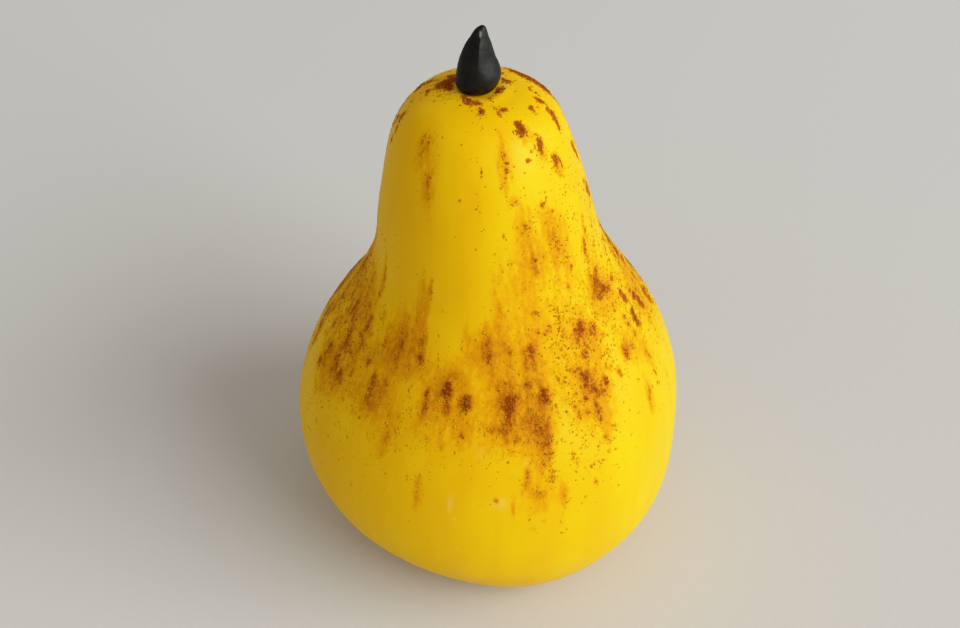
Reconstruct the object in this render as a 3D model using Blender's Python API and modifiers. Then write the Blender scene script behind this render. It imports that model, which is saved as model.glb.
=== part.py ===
# A pear-shaped sweet: one moulded yellow body that stands on a small flat foot, and one
# short black stalk whose root is pressed into a plain hole in the crown.
# Metres, +Z up. The origin is on the surface it stands on, under the middle of the belly.
# -Y is the side that faces the viewer.

import math

import bmesh
import bpy
from mathutils import Matrix, Vector

MM = 0.001

# Driving dimensions of the body
BELLY_RADIUS = 36.0 * MM
BODY_HEIGHT = 96.0 * MM
FOOT_RADIUS = 12.0 * MM

# The body's outline from crown to foot: share of the belly's radius, share of the height
OUTLINE = [
    (0.000, 1.000),  # top of the crown
    (0.181, 0.995),
    (0.308, 0.971),
    (0.386, 0.925),  # edge of the crown
    (0.443, 0.859),
    (0.498, 0.771),  # neck
    (0.562, 0.672),
    (0.698, 0.573),  # waist, where the neck opens into the belly
    (0.864, 0.474),
    (0.966, 0.375),  # shoulder
    (1.000, 0.276),  # belly, at its widest
    (0.978, 0.182),
    (0.897, 0.106),
    (0.767, 0.048),
    (0.569, 0.0125),  # heel
    (FOOT_RADIUS / BELLY_RADIUS, 0.0),
]

# How far the middle of the body lies to the side (+X) at each share of the height
LEAN = [
    (0.00, 3.8 * MM),
    (0.16, 1.0 * MM),
    (0.30, 0.0 * MM),
    (0.52, 1.1 * MM),
    (0.62, 0.5 * MM),
    (0.72, -0.7 * MM),
    (0.83, -1.5 * MM),
    (0.92, -2.1 * MM),
    (1.00, -1.6 * MM),
]

# The stalk: a pinched drop, from its widest ring up to the tip, with a root under it
STALK_RADIUS = 3.6 * MM
STALK_HEIGHT = 11.2 * MM
ROOT_RADIUS = 1.25 * MM
ROOT_LENGTH = 3.0 * MM
STALK_OUTLINE = [
    (0.00, 1.000),  # tip
    (0.13, 0.975),
    (0.35, 0.880),
    (0.54, 0.755),
    (0.69, 0.620),
    (0.86, 0.450),
    (0.97, 0.320),
    (1.00, 0.200),  # widest ring
    (0.96, 0.105),
    (0.84, 0.035),
    (0.70, 0.012),  # where the drop turns in to its root
]
STALK_OFFSET = -0.9 * MM  # from the middle of the crown
STALK_TURN = math.radians(-96)  # the ridge faces the viewer, a little to the left
TIP_SHIFT = 0.5 * MM  # the tip bends to the right
ROUND_SECTION = 2.0  # exponent of a round section
RIDGED_SECTION = 1.62  # exponent of the pinched section near the tip

# Fit of the root in its hole
GAP = 0.3 * MM

# Mesh density
BODY_STEPS = 72
BODY_CURVE_STEPS = 3
LEAN_CURVE_STEPS = 12
STALK_STEPS = 32
STALK_CURVE_STEPS = 2
MERGE = 0.00001

YELLOW = (0.83, 0.56, 0.01, 1.0)
BLACK = (0.012, 0.012, 0.013, 1.0)


def clear_scene():
    for old in list(bpy.data.objects):
        bpy.data.objects.remove(old, do_unlink=True)


def new_collection(name):
    group = bpy.data.collections.new(name)
    bpy.context.scene.collection.children.link(group)
    return group


def new_material(name, colour, roughness):
    material = bpy.data.materials.new(name)
    material.use_nodes = True
    shader = material.node_tree.nodes["Principled BSDF"]
    shader.inputs["Base Color"].default_value = colour
    shader.inputs["Roughness"].default_value = roughness
    shader.inputs["Metallic"].default_value = 0.0
    return material


def curve_value(before, start, end, after, t):
    # one stretch of a smooth curve that passes through start and end
    return 0.5 * (
        2 * start
        + (end - before) * t
        + (2 * before - 5 * start + 4 * end - after) * t**2
        + (3 * start - before - 3 * end + after) * t**3
    )


def smooth_through(stations, steps):
    # a smooth curve through the stations, with that many steps from each to the next
    ends = [
        [2 * a - b for a, b in zip(stations[0], stations[1])],
        [2 * a - b for a, b in zip(stations[-1], stations[-2])],
    ]
    run = [ends[0], *stations, ends[1]]
    points = []
    for i in range(1, len(run) - 2):
        for k in range(steps):
            t = k / steps
            points.append([curve_value(*four, t) for four in zip(*run[i - 1 : i + 3])])
    points.append(list(stations[-1]))
    return points


LEAN_CURVE = smooth_through(LEAN, LEAN_CURVE_STEPS)


def lean_at(height):
    # sideways place of the body's middle at a height
    share = min(max(height / BODY_HEIGHT, 0.0), 1.0)
    for (low, here), (high, there) in zip(LEAN_CURVE, LEAN_CURVE[1:]):
        if share <= high:
            return here + (there - here) * (share - low) / (high - low)
    return LEAN[-1][1]


def turned(name, profile, steps, group):
    # a closed turned solid: the profile runs from the axis at the top to the axis below
    mesh = bpy.data.meshes.new(name)
    points = [(radius, 0.0, height) for radius, height in profile]
    mesh.from_pydata(points, [(i, i + 1) for i in range(len(points) - 1)], [])
    lathe = bpy.data.objects.new(name + "_lathe", mesh)
    group.objects.link(lathe)
    screw = lathe.modifiers.new("Screw", "SCREW")
    screw.steps = steps
    screw.render_steps = steps
    screw.use_merge_vertices = True
    screw.merge_threshold = MERGE
    bpy.context.view_layer.update()
    graph = bpy.context.evaluated_depsgraph_get()
    solid_mesh = bpy.data.meshes.new_from_object(lathe.evaluated_get(graph))
    bpy.data.objects.remove(lathe, do_unlink=True)
    solid_mesh.name = name
    solid = bpy.data.objects.new(name, solid_mesh)
    group.objects.link(solid)
    return solid


def finish(solid, material, sharp_angle):
    solid.data.materials.clear()
    solid.data.materials.append(material)
    solid.data.shade_smooth()
    solid.data.set_sharp_from_angle(angle=math.radians(sharp_angle))


def body_profile():
    points = smooth_through(OUTLINE, BODY_CURVE_STEPS)
    profile = [(r * BELLY_RADIUS, h * BODY_HEIGHT) for r, h in points]
    profile[0] = (0.0, BODY_HEIGHT)
    profile.append((0.0, 0.0))
    return profile


def make_body(group, material):
    body = turned("pear_body", body_profile(), BODY_STEPS, group)
    for vertex in body.data.vertices:
        vertex.co.x += lean_at(vertex.co.z)
    finish(body, material, 40)
    return body


def section_radius(angle, exponent):
    # a round section at exponent 2, a rounded diamond with a ridge at each quarter below
    along = abs(math.cos(angle - STALK_TURN)) ** exponent
    across = abs(math.sin(angle - STALK_TURN)) ** exponent
    return (along + across) ** (-1 / exponent)


def pinch(point):
    # presses the turned drop into its ridged section and bends its tip over
    share = min(max(point.z / STALK_HEIGHT, 0.0), 1.0)
    exponent = ROUND_SECTION + (RIDGED_SECTION - ROUND_SECTION) * math.sqrt(share)
    radius = math.hypot(point.x, point.y)
    angle = math.atan2(point.y, point.x)
    radius *= section_radius(angle, exponent)
    return Vector(
        (
            radius * math.cos(angle) + TIP_SHIFT * share * share,
            radius * math.sin(angle),
            point.z,
        )
    )


def stalk_place():
    return Vector((lean_at(BODY_HEIGHT) + STALK_OFFSET, 0.0, BODY_HEIGHT))


def make_stalk(group, material):
    points = smooth_through(STALK_OUTLINE, STALK_CURVE_STEPS)
    profile = [(r * STALK_RADIUS, h * STALK_HEIGHT) for r, h in points]
    profile[0] = (0.0, STALK_HEIGHT)
    profile.append((ROOT_RADIUS, profile[-1][1]))  # the drop's flat underside
    profile.append((ROOT_RADIUS, -ROOT_LENGTH))
    profile.append((0.0, -ROOT_LENGTH))
    stalk = turned("stalk", profile, STALK_STEPS, group)
    for vertex in stalk.data.vertices:
        vertex.co = pinch(vertex.co)
    stalk.location = stalk_place()
    finish(stalk, material, 50)
    return stalk


def cut_hole(body, cutters):
    # the plain hole that the stalk's root stands in
    depth = ROOT_LENGTH + GAP
    over = 4.0 * MM
    mesh = bpy.data.meshes.new("root_hole")
    shape = bmesh.new()
    bmesh.ops.create_cone(
        shape,
        cap_ends=True,
        segments=STALK_STEPS,
        radius1=ROOT_RADIUS + GAP,
        radius2=ROOT_RADIUS + GAP,
        depth=depth + over,
        matrix=Matrix.Translation((0.0, 0.0, (over - depth) / 2)),
    )
    shape.to_mesh(mesh)
    shape.free()
    hole = bpy.data.objects.new("root_hole", mesh)
    cutters.objects.link(hole)
    hole.location = stalk_place()
    hole.hide_render = True
    hole.display_type = "WIRE"
    cut = body.modifiers.new("Root hole", "BOOLEAN")
    cut.operation = "DIFFERENCE"
    cut.object = hole


def main():
    clear_scene()
    pear = new_collection("pear")
    cutters = new_collection("cutters")
    body = make_body(pear, new_material("yellow_coat", YELLOW, 0.38))
    cut_hole(body, cutters)
    make_stalk(pear, new_material("black_stalk", BLACK, 0.45))


main()
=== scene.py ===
import math

import bpy
import numpy as np
from mathutils import Matrix, Vector


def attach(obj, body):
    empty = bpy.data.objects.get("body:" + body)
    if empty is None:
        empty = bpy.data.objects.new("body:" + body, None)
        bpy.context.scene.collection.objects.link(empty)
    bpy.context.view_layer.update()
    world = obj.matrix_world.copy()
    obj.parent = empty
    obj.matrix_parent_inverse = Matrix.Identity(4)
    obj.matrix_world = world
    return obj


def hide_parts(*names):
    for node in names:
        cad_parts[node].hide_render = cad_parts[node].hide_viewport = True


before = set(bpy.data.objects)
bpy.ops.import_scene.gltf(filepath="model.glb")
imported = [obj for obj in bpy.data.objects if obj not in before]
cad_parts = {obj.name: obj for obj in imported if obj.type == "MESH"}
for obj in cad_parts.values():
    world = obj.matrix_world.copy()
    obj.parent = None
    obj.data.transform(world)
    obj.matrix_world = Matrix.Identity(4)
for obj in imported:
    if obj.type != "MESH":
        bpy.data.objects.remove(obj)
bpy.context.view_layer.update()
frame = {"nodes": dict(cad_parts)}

mm = 0.001  # shapes are worked out in millimetres and put into the meshes in metres
scene = bpy.context.scene
scene.view_settings.view_transform = "Standard"  # keeps the yellow as strong as it is

# A gentle camera curve: blacks a little deeper, and whites that roll off at 1.25 instead of clipping at 1
scene.view_settings.use_curve_mapping = True
tone = scene.view_settings.curve_mapping
tone.white_level = (1.25, 1.25, 1.25)
toneCurve = tone.curves[3]
toneCurve.points[0].location, toneCurve.points[1].location = (0, 0), (1, 1)
for place in ((0.016, 0.007), (0.04, 0.033), (0.2, 0.235), (0.4, 0.5), (0.64, 0.79), (0.8, 0.91)):
    toneCurve.points.new(*place)
tone.update()
print("frame loaded:", ", ".join(frame["nodes"]))


# Shared helpers

def smoothThrough(stations, steps):
    # Catmull-Rom curve: every stretch is a cubic in t of its two ends and their two neighbours
    p = np.asarray(stations, float)
    p = np.vstack([2 * p[0] - p[1], p, 2 * p[-1] - p[-2]])
    t = (np.arange(steps) / steps)[None, :, None]
    a, b, c, d = (p[k:len(p) - 3 + k, None, :] for k in range(4))
    run = 0.5 * (2 * b + (c - a) * t + (2 * a - 5 * b + 4 * c - d) * t**2 + (3 * b - a - 3 * c + d) * t**3)
    return np.vstack([run.reshape(-1, p.shape[1]), p[-2]])


def easeStep(low, high, x):
    # 0 below low, 1 above high, and 3t² - 2t³ between them
    t = np.clip((x - low) / (high - low), 0, 1)
    return t * t * (3 - 2 * t)


def valueNoise(points, size, seed):
    # random values from -1 to 1 on a cubic lattice of that cell size, blended across the cell
    # by the product over the three axes of t or 1 - t, each eased as 3t² - 2t³
    table = np.random.default_rng(seed).uniform(-1, 1, (48, 48, 48))
    place = points / size
    cell = np.floor(place).astype(int)
    t = place - cell
    t = t * t * (3 - 2 * t)
    total = np.zeros(len(points))
    for corner in np.ndindex(2, 2, 2):
        weight = np.prod(np.where(corner, t, 1 - t), axis=1)
        index = (cell + corner) % 48
        total += weight * table[index[:, 0], index[:, 1], index[:, 2]]
    return total


def gridFaces(rows, columns):
    # quads of a grid whose columns run round and join up: down, across, up
    i, j = np.meshgrid(np.arange(rows - 1), np.arange(columns), indexing="ij")
    k = (j + 1) % columns
    upper, lower = i * columns, (i + 1) * columns
    return np.stack([upper + j, lower + j, lower + k, upper + k], -1).reshape(-1, 4)


def capFaces(ring, pole, flip):
    # a fan of triangles from a ring of vertices to its pole
    after = np.roll(ring, -1)
    return np.stack([after, ring, np.full_like(ring, pole)] if flip else [ring, after, np.full_like(ring, pole)], -1)


def putMesh(name, points, quads, triangles, attributes):
    # points in millimetres; the signed volume, a third of the sum of a·(b×c)/2, tells which way the faces turn
    corners = np.concatenate([quads[:, [0, 1, 2]], quads[:, [0, 2, 3]], triangles]) if len(quads) else triangles
    a, b, c = (points[corners[:, k]] for k in range(3))
    if np.einsum("ij,ij->i", a, np.cross(b, c)).sum() < 0:
        quads, triangles = quads[:, ::-1], triangles[:, ::-1]
    mesh = bpy.data.meshes.new(name)
    mesh.vertices.add(len(points))
    mesh.vertices.foreach_set("co", (points * mm).astype(np.float32).ravel())
    mesh.loops.add(quads.size + triangles.size)
    mesh.loops.foreach_set("vertex_index", np.concatenate([quads.ravel(), triangles.ravel()]).astype(np.int32))
    mesh.polygons.add(len(quads) + len(triangles))
    starts = np.concatenate([np.arange(len(quads)) * 4, quads.size + np.arange(len(triangles)) * 3])
    mesh.polygons.foreach_set("loop_start", starts.astype(np.int32))
    mesh.update(calc_edges=True)
    mesh.shade_smooth()
    for label, values in attributes.items():
        layer = mesh.attributes.new(label, "FLOAT", "POINT")
        layer.data.foreach_set("value", values.astype(np.float32))
    piece = bpy.data.objects.new(name, mesh)
    scene.collection.objects.link(piece)
    return piece


def startMaterial(name):
    material = bpy.data.materials.new(name)
    material.use_nodes = True
    tree = material.node_tree
    return material, tree, tree.nodes["Principled BSDF"]


def addNode(tree, kind, inputs=None, **settings):
    # a node with its settings, and its input sockets either set or linked
    node = tree.nodes.new(kind)
    for key, value in settings.items():
        setattr(node, key, value)
    for key, value in (inputs or {}).items():
        if isinstance(value, bpy.types.NodeSocket):
            tree.links.new(value, node.inputs[key])
        else:
            node.inputs[key].default_value = value
    return node


def addMath(tree, operation, first, second, third=None):
    inputs = {0: first, 1: second}
    if third is not None:
        inputs[2] = third
    return addNode(tree, "ShaderNodeMath", inputs, operation=operation).outputs[0]


def addRamp(tree, factor, stops):
    # colour ramp from (place, colour) pairs
    node = addNode(tree, "ShaderNodeValToRGB", {"Fac": factor})
    elements = node.color_ramp.elements
    while len(elements) < len(stops):
        elements.new(0.5)
    for element, (place, colour) in zip(elements, stops):
        element.position = place
        element.color = (*colour, 1)
    return node.outputs["Color"]


def addRange(tree, value, fromLow, fromHigh, toLow, toHigh):
    return addNode(tree, "ShaderNodeMapRange", {
        "Value": value, "From Min": fromLow, "From Max": fromHigh, "To Min": toLow, "To Max": toHigh}).outputs[0]


def addStep(tree, value, low, high):
    # 0 to 1 over the range, eased at both ends; from 1 down to 0 when low is above high
    flip = low > high
    return addNode(tree, "ShaderNodeMapRange", {
        "Value": value, "From Min": min(low, high), "From Max": max(low, high),
        "To Min": float(flip), "To Max": float(not flip)}, interpolation_type="SMOOTHSTEP").outputs[0]


def addNoise(tree, vector, perMetre, detail, roughness=0.5):
    return addNode(tree, "ShaderNodeTexNoise", {
        "Vector": vector, "Scale": perMetre, "Detail": detail, "Roughness": roughness}).outputs["Fac"]


def addMix(tree, factor, first, second):
    # the first colour at 0, the second at 1
    first, second = ((*c, 1) if isinstance(c, tuple) else c for c in (first, second))
    return addNode(tree, "ShaderNodeMix", {0: factor, 6: first, 7: second}, data_type="RGBA").outputs[2]


def addField(tree, label):
    # a value that putMesh stored on the surface
    return addNode(tree, "ShaderNodeAttribute", attribute_name=label).outputs["Fac"]


def addStretch(tree, vector, share):
    # heights scaled by that share, so that noise on the result runs in upright streaks
    return addNode(tree, "ShaderNodeMapping", {"Vector": vector, "Scale": (1, 1, share)}).outputs["Vector"]


def addLength(tree, vector):
    return addNode(tree, "ShaderNodeVectorMath", {0: vector}, operation="LENGTH").outputs["Value"]


def addBump(tree, height, strength, depth, under=None):
    inputs = {"Height": height, "Strength": strength, "Distance": depth}
    if under is not None:
        inputs["Normal"] = under
    return addNode(tree, "ShaderNodeBump", inputs).outputs[0]


# The body's surface: a turned outline whose middle leans a little to the side

bodyShape = {
    "bellyRadius": 36.0,
    "height": 96.0,
    "outline": [  # share of the belly's radius, share of the height, from the crown to the foot
        (0.000, 1.000), (0.181, 0.995), (0.308, 0.971), (0.386, 0.925), (0.443, 0.859), (0.498, 0.771),
        (0.562, 0.672), (0.698, 0.573), (0.864, 0.474), (0.966, 0.375), (1.000, 0.276), (0.978, 0.182),
        (0.897, 0.106), (0.767, 0.048), (0.569, 0.0125), (1 / 3, 0.0)],
    "lean": [  # share of the height, sideways place of the middle
        (0.00, 3.8), (0.16, 1.0), (0.30, 0.0), (0.52, 1.1), (0.62, 0.5), (0.72, -0.7), (0.83, -1.5),
        (0.92, -2.1), (1.00, -1.6)],
    "footRadius": 12.0,
    "footRings": (11.4, 10, 7.5, 4.5, 1.5),  # radii of the rows under the foot
    "stalkAxis": -2.5,
    "holeRadius": 1.55,
    "holeDepth": 3.3,
    "holeRows": (-2.2, -1.1, -0.3),  # heights of the rows in the hole, over its floor
    "rowBreaks": (20, 84),  # where the rows change their spacing, in millimetres down the outline
    "rowCounts": (38, 126, 36),  # rows above, between and below those places
    "columns": 452,
    "frontCrowding": 0.36,  # columns stand closer at the front, where most of the dust is
    "slowWaves": 0.13,  # hand-moulded unevenness, as the height of the waves
    "waveSizes": (16, 5),
    "lipHeight": 0.32,  # the coat is pushed up a little round the stalk
    "lipRadius": 3.9,
    "lipWidth": 0.75,
    "lipNoise": 2.4,
    "coatStart": 2.6,  # no dust nearer to the stalk's axis, or lower than footEdge
    "footEdge": 1.0,
    "dustThickness": 0.05,
    "heel": [  # low swellings and hollows: depth, angle, spread, level, half height
        (-1.0, -0.75, 0.6, 7.0, 8.0), (0.75, 0.2, 0.45, 3.0, 4.0)],
}

outlineRun = smoothThrough(bodyShape["outline"], 60) * (bodyShape["bellyRadius"], bodyShape["height"])
outlineAlong = np.concatenate([[0], np.cumsum(np.hypot(*np.diff(outlineRun, axis=0).T))])
leanRun = smoothThrough(bodyShape["lean"], 40) * (bodyShape["height"], 1)


def outlineAt(along):
    # radius, height and the sideways lean at a distance down the outline from the crown's top
    radius = np.interp(along, outlineAlong, outlineRun[:, 0])
    height = np.interp(along, outlineAlong, outlineRun[:, 1])
    return radius, height, np.interp(height, leanRun[:, 0], leanRun[:, 1])


def bodyRows():
    # rows from the bottom of the stalk's hole, up over its rim, down the outline and in under the foot
    v = bodyShape
    stops = (v["holeRadius"], *v["rowBreaks"], outlineAlong[-1])
    outer = np.concatenate([
        np.linspace(stops[k], stops[k + 1], v["rowCounts"][k], endpoint=k == 2) for k in range(3)])
    radius, height, middle = outlineAt(outer)
    under = np.array(v["footRings"])
    pit = np.array([-v["holeDepth"], *v["holeRows"]])
    along = np.concatenate([np.full(len(pit), outer[0]), outer, outlineAlong[-1] + v["footRadius"] - under])
    radius = np.concatenate([[v["holeRadius"]] * len(pit), radius, under])
    height = np.concatenate([v["height"] + pit, height, under * 0])
    middle = np.concatenate([[v["stalkAxis"]] * len(pit), middle, [v["lean"][0][1]] * len(under)])
    toStalk = (1 - easeStep(2.0, 8.0, radius)) * (height > 80)
    return along, radius, height, middle + (v["stalkAxis"] - middle) * toStalk


def columnTurns(count, crowding):
    # angles round the body from the front, positive to the right: 2πt - c·sin(2πt), closest together at t = 0
    t = np.arange(count) / count
    turn = 2 * np.pi * t - crowding * np.sin(2 * np.pi * t)
    return np.where(turn > np.pi, turn - 2 * np.pi, turn)


# Brown powder, dabbed on with a brush: each dab is (degrees from the front, positive to the right; distance
# down the outline from the crown's top; half width; half length; stain; grains), its lengths in tenths of a
# millimetre and its stain and grains in percent

crownDabs = [
    (-108, 56, 19, 13, 100, 100), (-100, 72, 12, 8, 80, 80), (-128.5, 67, 8, 7, 80, 80), (-117, 98, 7, 4, 60, 70),
    (-111, 117, 9, 5, 85, 90), (-93, 92, 10, 4, 60, 70), (-76.5, 73, 7, 4, 30, 35), (-91, 119, 6, 2, 40, 50),
    (-106, 145, 4, 8, 40, 50), (-84, 144, 5, 12, 60, 60), (-80, 162, 4, 9, 50, 50), (-80, 182, 3, 6, 60, 50),
    (-27, 44, 8.5, 6.5, 100, 95), (-34, 40, 9.1, 6, 70, 48), (-8, 43, 7, 5, 80, 60), (-95, 50, 12, 8, 100, 80),
    (117, 44, 4, 4, 80, 60), (-1.5, 61, 5, 6, 85, 80), (-2, 71, 3, 3, 30, 40), (27, 37, 4, 3, 60, 60),
    (21, 55, 4, 4, 40, 50), (76, 30, 10, 5, 100, 90), (75, 35, 7, 3, 60, 70), (120.5, 44, 10, 5, 85, 80),
    (148, 55, 5, 7, 60, 60), (30, 65, 6, 4, 85, 80), (21, 70, 4, 8, 50, 60), (144, 86, 11, 8, 95, 90),
    (133, 87, 11, 9, 100, 90), (125, 92, 12, 9, 100, 90), (118, 100, 12, 8, 100, 90), (112, 107, 11, 7, 100, 90),
    (109, 119, 9, 6, 90, 80), (104.5, 116, 4, 3, 70, 80), (97, 75, 8, 2, 70, 70), (92, 83, 5, 3, 60, 70),
    (82.5, 82, 5, 3, 60, 70), (81, 90, 7, 4, 70, 70), (81, 95, 4, 4, 70, 70), (62.5, 85, 6, 4, 80, 80),
    (60, 93, 4, 3, 50, 60), (77, 109, 7, 3, 75, 70), (77, 118, 6, 5, 80, 80), (75, 126, 6, 6, 80, 75),
    (75, 136, 5, 5, 75, 70), (73.5, 143, 4, 5, 70, 70),
]
neckDabs = [
    (35, 97, 6, 6, 95, 95), (36, 106, 6, 6, 95, 90), (30.5, 106, 4, 3, 60, 60), (33, 114, 5, 4, 60, 65),
    (38, 119, 4, 4, 35, 45), (45.5, 123, 5, 3, 35, 50), (46.5, 138, 7, 9, 60, 70), (45.5, 149, 4, 5, 45, 60),
    (40.5, 140, 2, 6, 30, 45), (33.5, 156, 4, 2, 95, 95), (56, 170, 7, 4, 45, 55), (56.5, 180, 8, 7, 50, 60),
    (60.5, 192, 3, 8, 50, 60), (54, 187, 6, 5, 35, 40), (18, 150, 4, 3.5, 60, 65), (17.5, 163, 4, 6, 60, 65),
    (14.5, 182, 4, 10, 20, 20), (15.5, 137, 3, 8, 20, 20), (16, 110, 3, 5, 30, 35), (16, 125, 2, 5, 30, 35),
    (-47, 134, 5.5, 8, 38, 15), (-44, 150, 5.5, 9, 34, 10), (-42, 126, 3.3, 4, 26, 15), (-41, 137, 3.3, 6, 38, 20),
    (-39.5, 145, 3.3, 4, 38, 17), (-58, 116, 3, 3, 25, 30), (-33, 192, 4, 12, 38, 20), (-32.5, 214, 4, 12, 26, 10),
    (1, 161, 2, 6, 40, 35), (-12, 209, 3, 3, 45, 40), (84, 195, 7, 9, 70, 70), (86, 214, 7, 9, 70, 60),
    (87, 230, 3, 6, 50, 50), (81, 261, 4, 6, 55, 60), (84.5, 280, 11, 9, 75, 70), (86, 295, 8, 8, 65, 60),
    (20, 215, 8, 8, 30, 30), (37, 234, 4, 8, 44, 48), (35, 260, 3, 10, 20, 28), (43, 252, 3, 2, 80, 80),
    (24, 260, 4, 5, 48, 40), (24, 272, 8, 19, 24, 12), (22, 290, 5, 12, 16, 8), (40, 262, 6, 5, 14, 25),
    (42, 277, 8, 7, 17, 27), (39.5, 287, 9, 7, 24, 36), (41, 303, 9, 9, 22, 32), (40.5, 313, 7, 6, 29, 38),
    (44, 315, 8, 11, 19, 27), (43.5, 330, 9, 11, 14, 27), (38.5, 332, 9, 11, 12, 22), (58, 260, 45, 60, 2, 8),
]
rightShoulderDabs = [
    (66.5, 304, 4, 10, 40, 35), (65, 323, 3, 12, 45, 40), (62, 344, 4, 12, 55, 50), (61, 360, 4, 10, 55, 50),
    (61.5, 382, 4, 5, 50, 50), (74, 332, 3, 10, 30, 30), (71, 361, 3, 3, 60, 60), (27, 322, 3, 3, 70, 50),
    (26, 335, 9, 16, 30, 20), (48, 363, 3, 3, 75, 70), (43, 392, 3, 5, 50, 60), (88, 398, 8.1, 6, 53, 60),
    (85, 408, 6.8, 5, 37, 50), (91, 435, 6.8, 6, 37, 50), (101.5, 476, 5.2, 7, 53, 60), (103, 498, 6.5, 9, 63, 60),
    (109, 539, 6.5, 10, 68, 70), (104, 538, 5.2, 10, 53, 50), (103.5, 568, 5.2, 9, 53, 50),
    (99.5, 579, 5.2, 12, 53, 55), (96, 591, 5.2, 12, 53, 50), (65, 406, 6.4, 8, 57, 63), (62, 413, 8.3, 9, 56, 61),
    (62, 426, 9.2, 8, 63, 65), (64, 441, 10.1, 8, 66, 69), (68, 452, 7.4, 7, 49, 68), (60, 445, 11, 6, 36, 50),
    (57.5, 431, 10, 14, 30, 30), (77, 442, 4.1, 2, 73, 70), (74, 448, 5.4, 6, 68, 65), (74.5, 480, 8.1, 5, 79, 75),
    (75, 494, 9.4, 6, 79, 80), (76, 505, 6.8, 4, 42, 50), (82.5, 504, 8.1, 4, 68, 60), (83, 519, 9.4, 6, 80, 70),
    (84.5, 535, 9.4, 7, 80, 70), (85, 550, 8.1, 6, 79, 75), (85, 561, 5.4, 6, 42, 50), (74, 522, 8.1, 6, 84, 80),
    (73, 533, 8.1, 6, 84, 80), (73, 546, 8.1, 5, 79, 75), (67, 513, 4, 6, 60, 65), (67, 527, 6, 4, 65, 70),
    (83, 578, 4, 3, 75, 70), (60.5, 467, 3, 2, 70, 70), (62, 476, 24, 16, 15, 40), (101, 378, 12, 13, 70, 60),
    (103, 407, 14, 12, 75, 70), (100, 436, 13, 12, 70, 70), (100, 466, 14, 12, 70, 70), (99, 496, 11, 10, 45, 50),
    (97.5, 530, 12, 12, 50, 50), (95.5, 562, 13, 12, 65, 60), (94.5, 582, 12, 10, 55, 50), (84, 480, 55, 80, 3, 25),
    (72, 360, 40, 50, 2, 14),
]
rightBellyDabs = [
    (42.5, 459, 6, 5, 75, 75), (41, 469, 8, 8, 90, 85), (39, 475, 7, 6, 60, 70), (40, 490, 6, 9, 35, 40),
    (48, 475, 5, 5, 65, 70), (47, 486, 7, 7, 75, 75), (45.5, 497, 4, 5, 30, 40), (37.5, 487, 5, 3, 60, 70),
    (39.5, 507, 4, 5, 81, 76), (38, 512, 5, 3, 71, 71), (58, 545, 7, 7, 80, 80), (57.5, 556, 7, 7, 80, 80),
    (57, 565, 5, 4, 50, 60), (62, 557, 4, 6, 40, 50), (67, 551, 5, 5, 55, 65), (68, 590, 4, 4, 50, 50),
    (68.5, 604, 4, 7, 60, 60), (67, 634, 3, 4, 60, 60), (34, 530, 4, 4, 57, 66), (35, 541, 7, 7, 76, 76),
    (35.5, 554, 7, 7, 81, 76), (34, 561, 4, 4, 71, 71), (43, 566, 4, 5, 76, 76), (42.5, 575, 5, 5, 71, 76),
    (40, 579, 6, 5, 57, 66), (40.5, 591, 6, 7, 33, 47), (38, 568, 8, 6, 62, 71), (36, 574, 7, 5, 66, 71),
    (37, 585, 5, 5, 62, 66), (40, 562, 4, 5, 38, 47), (33, 581, 3, 3, 80, 80), (50, 571, 4, 4, 70, 75),
    (50, 579, 3, 3, 70, 70), (60.5, 651, 4, 6, 60, 65), (59.5, 659, 4, 6, 50, 55), (59, 677, 3, 13, 30, 30),
    (75, 677, 2, 16, 40, 20), (36, 598, 4, 5, 66, 66), (36, 611, 5, 7, 45, 55), (36, 625, 4, 8, 35, 45),
    (28, 587, 3, 3, 50, 60), (32, 603, 4, 3, 75, 70), (29, 604, 4, 6, 45, 55), (35, 471, 9, 10, 15, 35),
    (26, 451, 5, 4, 40, 60), (24, 455, 3, 3, 40, 55), (21, 449, 3, 3, 60, 60), (21, 415, 6, 3, 50, 60),
    (24, 528, 2, 2, 70, 60), (31, 528, 3, 5, 40, 50), (40, 545, 4, 3, 52, 57), (47, 557, 4, 2, 50, 50),
    (45, 531, 3, 4, 40, 45), (50.5, 501, 4, 3, 50, 50), (66.5, 657, 4, 3, 45, 45), (34, 455, 44, 46, 5, 42),
    (34, 675, 50, 45, 2, 10), (29, 550, 36, 45, 5, 35), (46, 510, 25, 35, 5, 30),
]
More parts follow.
